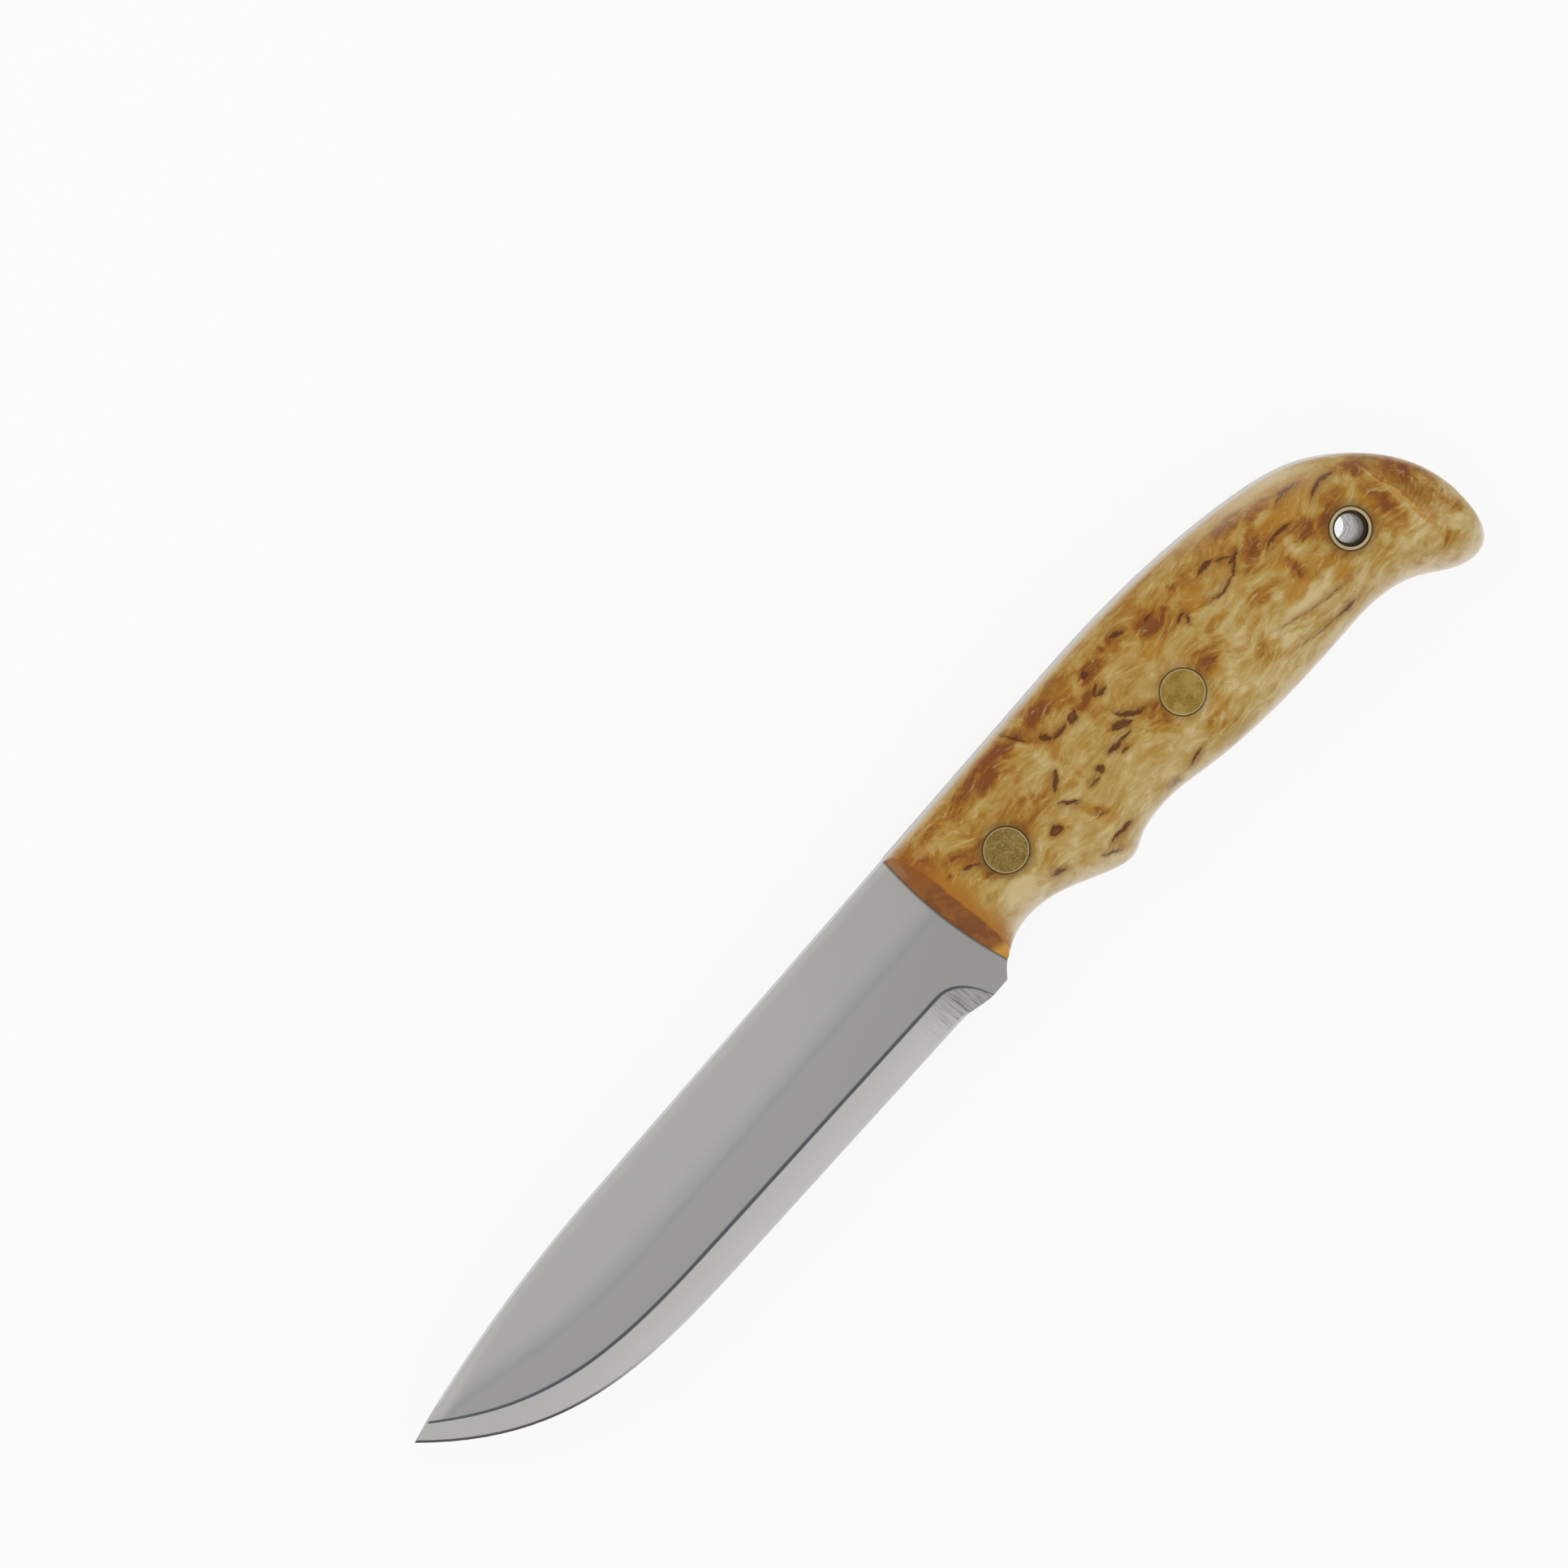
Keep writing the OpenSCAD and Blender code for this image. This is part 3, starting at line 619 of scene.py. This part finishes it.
def flecked(birch, colour, place, fine, flecks):
    inked = birch.warped(birch.warped(place, 0.5, 0.5, 2), 2.4, 0.16, 2)
    inside = fleck_field(birch, inked, flecks)
    inside = birch.math("MULTIPLY_ADD", birch.math("SUBTRACT", fine, 0.5), 0.7, inside)
    colour = birch.mix(birch.rise(inside, -0.9, 0.05, 0, 0.5), colour, rgb(134, 82, 28))
    core = birch.mix(birch.rise(inside, 0.3, 0.6), rgb(86, 42, 10), rgb(118, 66, 22))
    return birch.mix(birch.rise(inside, -0.15, 0.14, 0, 0.9), colour, core)


print("the light line crosses the butt", line_at, "mm behind the front rivet")

# %% [markdown]
# ## Curly birch: round the metal and at the edges
#
# Round metal the wood gets a painted shadow: a soft brown shade and a dark ring at the gap. The
# rolled edges are lighter with a painted reflection: broadly on the belly's side, and in a thin
# line at the back. Every place is told by its distance from the steel and by where it is along
# and across, so that the same recipe works on both scales.

# %% Metal and rolled edges
round_metal = ((front_rivet, head_radius, 0.6), (rear_rivet, head_radius, 0.35),
               (tube, tube_radius, 0.6))


def painted_shade_round_metal(birch, colour, place):
    for centre, radius, shade in round_metal:
        axis = (centre - front_rivet) / MM
        gap = birch.from_axis(place, axis.x, axis.y)
        # painted shadow: a soft brown shade round the metal
        colour = birch.mix(birch.rise(gap, radius + 2.2, radius, 0, shade), colour,
                           rgb(104, 66, 26))
        # painted shadow: a dark ring at the gap
        colour = birch.mix(birch.rise(gap, radius + 0.42, radius + 0.1, 0, 0.85), colour,
                           rgb(46, 32, 18))
    return colour


def painted_edge_reflections(birch, colour, along, across, from_steel, rough):
    below_middle = birch.math("MULTIPLY_ADD", along, 0.1, across)
    below_middle = birch.math("ADD", below_middle, birch.rise(along, 84, 92, 0, 13))
    belly = birch.product(birch.rise(from_steel, 8.8, 3.3), birch.rise(below_middle, -1, -5),
                          birch.rise(from_steel, 2.0, 3.4, 0.3, 1),
                          birch.math("MULTIPLY_ADD", rough, -1.0, 1.0))
    # painted reflection: a creamy light rim along the belly's side
    colour = birch.mix(belly, colour, rgb(236, 221, 197))
    back = birch.product(birch.rise(from_steel, 9.4, 4.5, 0, 0.6), birch.rise(along, 48, 78),
                         birch.rise(along, 80, 88, 1, 0.15), birch.rise(across, -8, 0))
    back = birch.math("MAXIMUM", back, birch.rise(from_steel, 5.6, 3.2, 0, 0.42))
    # painted reflection: a thin light line at the back
    return birch.mix(back, colour, rgb(228, 210, 176))


print("dark rings round", len(round_metal), "pieces of metal on each scale")

# %% [markdown]
# ## Curly birch: the sloped front
#
# The front of each scale slopes down to the steel, and it cuts across the grain. End grain takes
# more oil and turns orange brown, and it also gets a painted shade, as the slope faces away from
# the light. Some of the oil has crept back into the top of the scale.
# The slope is a plane that bows to the belly, so a point's distance ahead of it is worked out
# from its height over the steel.

# %% End grain and the joint
slope = 0.534           # how far the front runs back for each millimetre up
slope_start = 15.07     # from the front rivet's axis to the slope, at that rivet's middle height


def sloped_front(birch, colour, along, across, from_steel, grain):
    bow = birch.math("ADD", across, -bow_middle)
    slope_line = birch.math("MULTIPLY_ADD", birch.product(bow, bow), bow_rate,
                            -slope_start - slope * middle_to_steel)
    ahead = birch.math("SUBTRACT", birch.math("MULTIPLY_ADD", from_steel, -slope, along),
                       slope_line)
    crept = birch.math("MULTIPLY_ADD", grain["rough"], 5, ahead)
    oiled = birch.product(birch.rise(crept, 3.6, 0.5, 0, 0.85), birch.rise(along, -7, -9),
                          birch.rise(across, 8, 10, 1, 0.45))
    oil = birch.mix(birch.rise(across, 5, 9), rgb(168, 108, 28), rgb(146, 78, 18))
    colour = birch.mix(oiled, colour, oil)

    # darker end grain: its own colour, together with a painted shade
    end_grain = birch.mix(birch.rise(grain["mottle"], 0.42, 0.6), rgb(134, 76, 30),
                          rgb(156, 96, 42))
    end_grain = birch.mix(birch.rise(across, -10, -12), end_grain, rgb(228, 166, 66))
    end_grain = birch.mix(birch.rise(across, 4, 8), end_grain, rgb(156, 90, 24))
    sloped = birch.product(birch.rise(ahead, 0.35, 0.1, 0, 0.9),
                           birch.rise(across, 3, 9, 1, 0.55))
    return birch.mix(sloped, colour, end_grain)


print("the front slopes", round(math.degrees(math.atan(slope)), 1), "degrees from upright")

# %% [markdown]
# ## Curly birch: all of it together
#
# The finish is laid in the order in which the real one came about: the tree's figure first, then
# its flecks, then what tools, oil and hands did. The surface is polished, so a clear coat gives
# the gloss, and the wood under it has none of its own.

# %% Birch for both scales
def curly_birch(name, brown, amber, pale, flecks, offset):
    birch = Finish(name, Roughness=0.55, Specular_IOR_Level=0.0,
                   Coat_Weight=1.0, Coat_Roughness=0.12, Coat_IOR=1.25)
    place = birch.millimetres(front_rivet)
    along, across, height = birch.parts(place)
    from_steel = birch.math("ABSOLUTE", birch.math("ADD", height, middle_to_steel))
    grain = grain_of(birch, place, offset)

    colour = clouded(birch, place, grain, brown, amber, pale)
    colour = butt_line(birch, colour, along, across, grain["rough"])
    colour = stroked(birch, colour, grain["bent"])
    colour = flecked(birch, colour, place, grain["fine"], flecks)
    colour = painted_shade_round_metal(birch, colour, place)
    colour = painted_edge_reflections(birch, colour, along, across, from_steel, grain["rough"])
    colour = sloped_front(birch, colour, along, across, from_steel, grain)
    joint = birch.rise(from_steel, half_steel + 0.3, half_steel + 0.1, 0, 0.7)
    colour = birch.mix(joint, colour, rgb(88, 66, 46))

    birch.connect("Base Color", colour)
    birch.bump(grain["streaks"], 0.01)
    return birch.material


birch_left = curly_birch("curly_birch_left", left_brown, left_amber, left_pale, left_flecks,
                         (0, 0, 0))
birch_right = curly_birch("curly_birch_right", right_brown, right_amber, right_pale,
                          right_flecks, (310, 70, 40))
print("birch nodes:", len(birch_left.node_tree.nodes))

# %% [markdown]
# ## Aged brass: the rivets
#
# The rivet heads were ground flush with the wood and have gone dull and olive since, the front one
# more than the rear one. Their rims get a painted highlight, a thin bright ring. The rim is told
# from the distance to the rivet's axis, and a fine noise gives the specks of old polish.

# %% Brass for the rivets
def aged_brass(name, axis, dull, bright, speckle):
    brass = Finish(name, Metallic=1.0, Roughness=0.38)
    place = brass.millimetres(axis)
    gap = brass.from_axis(place)
    cloud = brass.noise(place, 0.4, 4, 0.65)
    grain = brass.noise(place, 3.2, 3, 0.6)
    colour = brass.mix(brass.rise(cloud, 0.35, 0.65), dull, bright)
    colour = brass.mix(brass.rise(grain, 0.5, 0.68, 0, speckle), colour, rgb(166, 146, 94))
    colour = brass.mix(brass.rise(grain, 0.5, 0.34, 0, 0.75 * speckle), colour, rgb(98, 80, 38))
    # painted highlight: a thin bright ring at the rim
    rim_highlight = brass.rise(gap, head_radius - 0.26, head_radius - 0.16, 0, 0.65)
    colour = brass.mix(rim_highlight, colour, rgb(186, 170, 124))
    brass.connect("Base Color", colour)
    brass.bump(grain, 0.006)
    return brass.material


front_brass = aged_brass("front_rivet_brass", front_rivet, rgb(118, 96, 48),
                         rgb(140, 118, 68), 0.55)
rear_brass = aged_brass("rear_rivet_brass", rear_rivet, rgb(136, 108, 46),
                        rgb(164, 136, 74), 0.22)
print("brass materials:", front_brass.name, rear_brass.name)

# %% [markdown]
# ## Aged brass: the thong tube
#
# The tube's rim is pale, its opened mouth gets a painted shade, and its bore a painted reflection,
# bright, with rings that are partly the drill's marks and partly painted reflection. The distance
# from the axis tells rim from bore, and the distance from the middle tells how near the mouth a
# point is.

# %% Brass for the tube
bore_radius = 2.6
mouth_radius = 3.15
mouth_depth = 2.1
tube_low, tube_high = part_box("lanyard_tube")
half_tube = (tube_high.z - tube_low.z) / 2 / MM


def tube_brass():
    brass = Finish("tube_brass", Metallic=1.0, Roughness=0.36)
    place = brass.millimetres(tube)
    gap = brass.from_axis(place)
    rim = brass.mix(brass.noise(place, 2.2, 3, 0.6), rgb(166, 148, 112), rgb(190, 172, 136))
    rings = brass.noise(brass.stretch(place, (0.5, 0.5, 2.2)), 1, 4, 0.65)
    # painted reflection: the bright bore with its rings
    bore = brass.mix(brass.rise(rings, 0.36, 0.62), rgb(120, 112, 106), rgb(222, 216, 212))
    from_middle = brass.math("ABSOLUTE", brass.parts(place)[2])
    mouth_start = half_tube - mouth_depth
    near_mouth = brass.rise(from_middle, mouth_start, mouth_start + 0.3)
    off_bore = brass.rise(gap, bore_radius + 0.05, bore_radius + 0.12)
    # painted shade: the dark mouth
    colour = brass.mix(brass.math("MAXIMUM", near_mouth, off_bore), bore, rgb(56, 47, 34))
    on_rim = brass.rise(gap, mouth_radius + 0.02, mouth_radius + 0.08)
    brass.connect("Base Color", brass.mix(on_rim, colour, rim))
    return brass.material


thong_brass = tube_brass()
print("the tube is", round(2 * half_tube, 1), "mm long")

# %% [markdown]
# ## Pieces
#
# The packed pieces have the right form, but their triangles are loose, and the shading that they
# were saved with is cut up at every one. A piece could be modelled again from nothing, but then
# it might not fit. So each one is copied, its saved shading is cleared, its triangles are joined,
# and smooth shading rounds what was lofted. The brass also gets a very small bevel, because a
# turned edge is always broken by a touch of abrasive. The steel and the wood already have their
# shoulders and rolled edges, so they get none.

# %% A helper that dresses a node
joining_distance = 0.002 * MM
flatness = math.radians(0.05)


def dress(node, name, material, broken_edge=0.0, sharp=30):
    """Copies a node, joins its triangles, breaks its sharp edges and gives it its finish."""
    bpy.ops.object.select_all(action="DESELECT")
    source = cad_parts[node]
    source.select_set(True)
    bpy.context.view_layer.objects.active = source
    bpy.ops.object.duplicate()
    piece = bpy.context.object
    piece.name = name
    for key in list(piece.keys()):
        del piece[key]
    piece.parent = None
    bpy.ops.mesh.customdata_custom_splitnormals_clear()
    bpy.ops.object.mode_set(mode="EDIT")
    bpy.ops.mesh.select_all(action="SELECT")
    bpy.ops.mesh.remove_doubles(threshold=joining_distance)
    bpy.ops.mesh.dissolve_limited(angle_limit=flatness)
    bpy.ops.mesh.quads_convert_to_tris()
    bpy.ops.object.mode_set(mode="OBJECT")
    if broken_edge:
        bevel = piece.modifiers.new("broken edges", "BEVEL")
        bevel.width = broken_edge * MM
        bevel.segments = 2
        bevel.limit_method = "ANGLE"
        bevel.angle_limit = math.radians(sharp)
        bpy.ops.object.modifier_apply(modifier=bevel.name)
    bpy.ops.object.shade_smooth_by_angle(angle=math.radians(sharp))
    piece.data.materials.clear()
    piece.data.materials.append(material)
    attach(piece, "root")
    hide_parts(node)
    print(name, len(piece.data.polygons), "faces")


print("points closer than", round(joining_distance / MM, 4), "mm are joined")

# %% [markdown]
# ## Dress every piece
#
# The blade counts an edge as sharp from 5 degrees on, so that the lines between flat, shoulder and
# bevel stay crisp. The lofted scales and the turned brass keep the usual 30 degrees.

# %% Steel and birch
dress("blade", "blade_and_tang", steel_material, sharp=5)
dress("left_scale", "left_birch_scale", birch_left)
dress("right_scale", "right_birch_scale", birch_right)

# %% Brass
rivet_edge = 0.12
tube_edge = 0.15
dress("front_rivet_sleeve", "front_rivet_left_half", front_brass, rivet_edge)
dress("front_rivet_screw", "front_rivet_right_half", front_brass, rivet_edge)
dress("rear_rivet_sleeve", "rear_rivet_left_half", rear_brass, rivet_edge)
dress("rear_rivet_screw", "rear_rivet_right_half", rear_brass, rivet_edge)
dress("lanyard_tube", "thong_tube", thong_brass, tube_edge)

# %% [markdown]
# ## The table
#
# The knife lies on a plain white sheet. A sheet lit only by lamps turns grey towards its edges, and
# stronger lamps would wash out the knife. So for the rays that show the sheet to the camera,
# or in the knife's polish, it glows white by itself, and only a share of it keeps the shadow.

# %% What is seen directly
def seen_directly(tree):
    """1 for rays that show a surface to the camera, straight, in a polish or through glass."""
    path = tree.nodes.new("ShaderNodeLightPath")
    share = path.outputs["Is Camera Ray"]
    for name in ("Is Glossy Ray", "Is Transmission Ray"):
        larger = tree.nodes.new("ShaderNodeMath")
        larger.operation = "MAXIMUM"
        tree.links.new(share, larger.inputs[0])
        tree.links.new(path.outputs[name], larger.inputs[1])
        share = larger.outputs[0]
    return share


print("three kinds of ray show a surface directly")

# %% The sheet under the knife
floor_size = 6
sheet_glow = 0.87
sheet_white = 0.9

bpy.ops.object.select_all(action="DESELECT")
bpy.ops.mesh.primitive_plane_add(size=floor_size, location=(0, 0, cad_low.z))
floor = bpy.context.object
floor.name = "table"
sheet = Finish("white_sheet", Roughness=0.9, Specular_IOR_Level=0.0,
               Base_Color=(sheet_white, sheet_white, sheet_white, 1))
glowing = sheet.add("Emission", {"Color": (1, 1, 1, 1), "Strength": 1.0})
shown = sheet.math("MULTIPLY", seen_directly(sheet.tree), sheet_glow)
both = sheet.add("MixShader", {0: shown, 1: sheet.shader.outputs[0], 2: glowing})
sheet.tree.links.new(both, sheet.tree.nodes["Material Output"].inputs["Surface"])
floor.data.materials.append(sheet.material)
print("table", floor_size, "m wide at height", round(cad_low.z, 4))

# %% [markdown]
# ## The world and the lamps
#
# The light comes from a white room and two large panels, so that no lamp shows as a spot in the
# polish. The camera and the mirror-like surfaces see the room at full white, but the light that it
# sheds is kept lower, at a level at which the knife's colours come out as they were mixed.

# %% The room
room_light = 0.66
world = bpy.data.worlds.new("white_room")
bpy.context.scene.world = world
world.use_nodes = True
room = world.node_tree.nodes["Background"]
room.inputs["Color"].default_value = (1, 1, 1, 1)
level = world.node_tree.nodes.new("ShaderNodeMath")
level.operation = "MULTIPLY_ADD"
world.node_tree.links.new(seen_directly(world.node_tree), level.inputs[0])
level.inputs[1].default_value = 1 - room_light
level.inputs[2].default_value = room_light
world.node_tree.links.new(level.outputs[0], room.inputs["Strength"])
print("the room sheds", room_light, "and shows as 1")


# %% The panels
def panel(name, place, size, power):
    """A large, square, soft lamp that faces the knife and isn't mirrored in it."""
    bpy.ops.object.light_add(type="AREA", location=place)
    lamp = bpy.context.object
    lamp.name = name
    lamp.data.size = size
    lamp.data.energy = power
    lamp.visible_glossy = False
    lamp.rotation_euler = Vector(place).to_track_quat("Z", "Y").to_euler()


panel("panel_above", (0.1, 0.2, 1.3), size=1.2, power=4)
panel("panel_at_spine", (-0.5, 1.0, 0.9), size=0.9, power=2)
bpy.context.scene.view_settings.view_transform = "Standard"

# %% [markdown] ## Measure and finish The dressed knife has to keep the size of the packed one,
# so the packed one's size is printed.

# %% Measure and finish
print("model", [round(v / MM, 2) for v in cad_high - cad_low], "mm")
